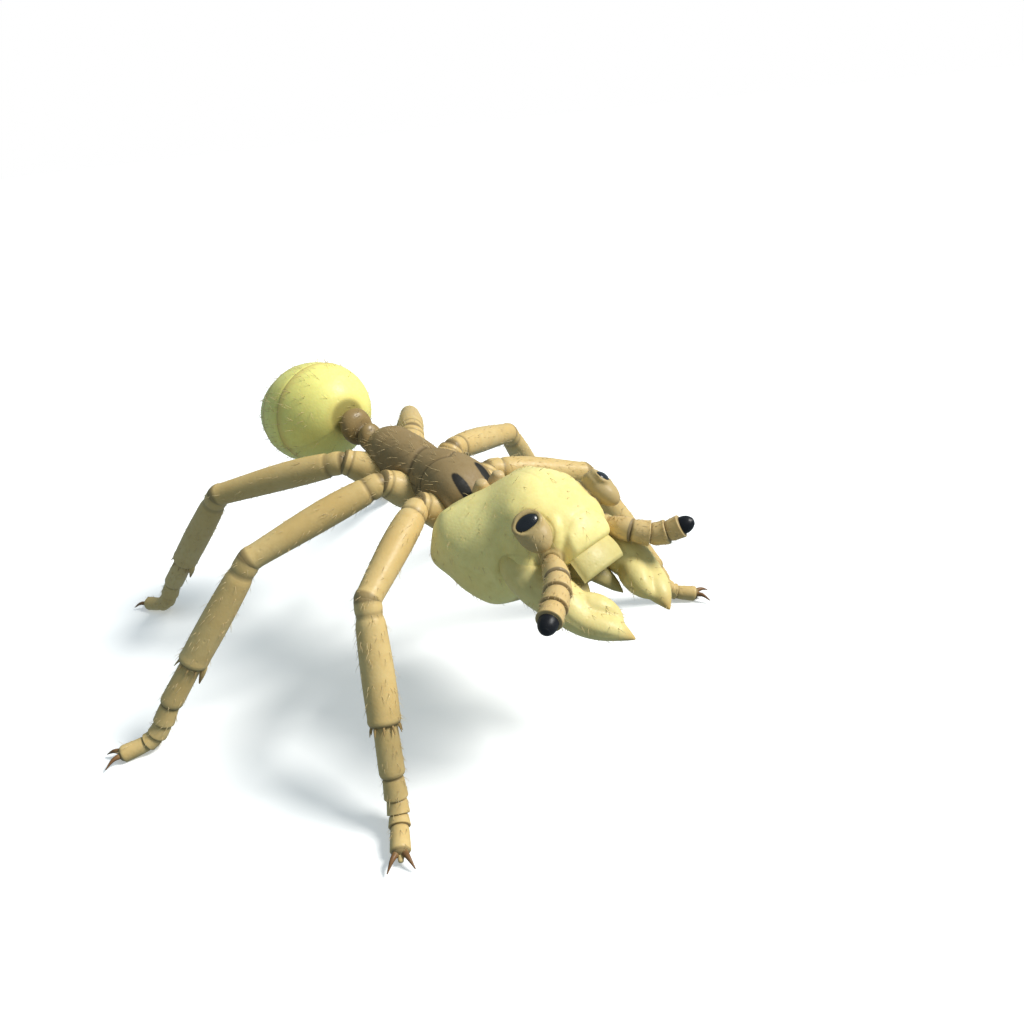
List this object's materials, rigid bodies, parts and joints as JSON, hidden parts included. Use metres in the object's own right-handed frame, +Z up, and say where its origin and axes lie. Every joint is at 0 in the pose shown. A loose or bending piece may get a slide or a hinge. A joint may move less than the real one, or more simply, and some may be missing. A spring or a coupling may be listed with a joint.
{
  "type": "army ant soldier, still museum model",
  "caption": "Life-size still model of a big-headed soldier army ant, standing on its bent legs with open jaws and raised feelers.",
  "frame": {"origin": "on the floor under the middle of the animal's outline, feet and feelers included", "axes": "+Z up, -Y forward, the way that the ant looks, +X to the ant's left"},
  "size_m": [0.0148, 0.0144, 0.0064],
  "materials": {
    "head_shell": "smooth pale yellow shell, slightly glossy",
    "jaw": "smooth pale yellow horn, darker at the tip",
    "eye": "polished black",
    "mouth": "satin olive shell",
    "feeler": "satin tan shell, black at the tips",
    "trunk": "satin brown shell",
    "waist": "satin brown shell",
    "tail": "smooth bright pale yellow shell",
    "leg": "satin tan shell",
    "neck": "matte tan membrane"
  },
  "bodies": {
    "root": {"antenna_left_flagellum": "feeler", "antenna_left_scape": "feeler", "antenna_right_flagellum": "feeler", "antenna_right_scape": "feeler", "eye_left": "eye", "eye_right": "eye", "gaster": "tail", "head": "head_shell", "labrum": "head_shell", "leg_front_left_coxa": "leg", "leg_front_left_femur": "leg", "leg_front_left_tarsus": "leg", "leg_front_left_tibia": "leg", "leg_front_right_coxa": "leg", "leg_front_right_femur": "leg", "leg_front_right_tarsus": "leg", "leg_front_right_tibia": "leg", "leg_hind_left_coxa": "leg", "leg_hind_left_femur": "leg", "leg_hind_left_tarsus": "leg", "leg_hind_left_tibia": "leg", "leg_hind_right_coxa": "leg", "leg_hind_right_femur": "leg", "leg_hind_right_tarsus": "leg", "leg_hind_right_tibia": "leg", "leg_middle_left_coxa": "leg", "leg_middle_left_femur": "leg", "leg_middle_left_tarsus": "leg", "leg_middle_left_tibia": "leg", "leg_middle_right_coxa": "leg", "leg_middle_right_femur": "leg", "leg_middle_right_tarsus": "leg", "leg_middle_right_tibia": "leg", "mandible_left": "jaw", "mandible_right": "jaw", "mouthparts": "mouth", "neck": "neck", "petiole": "waist", "postpetiole": "waist", "thorax": "trunk"}
  },
  "joints": []
}
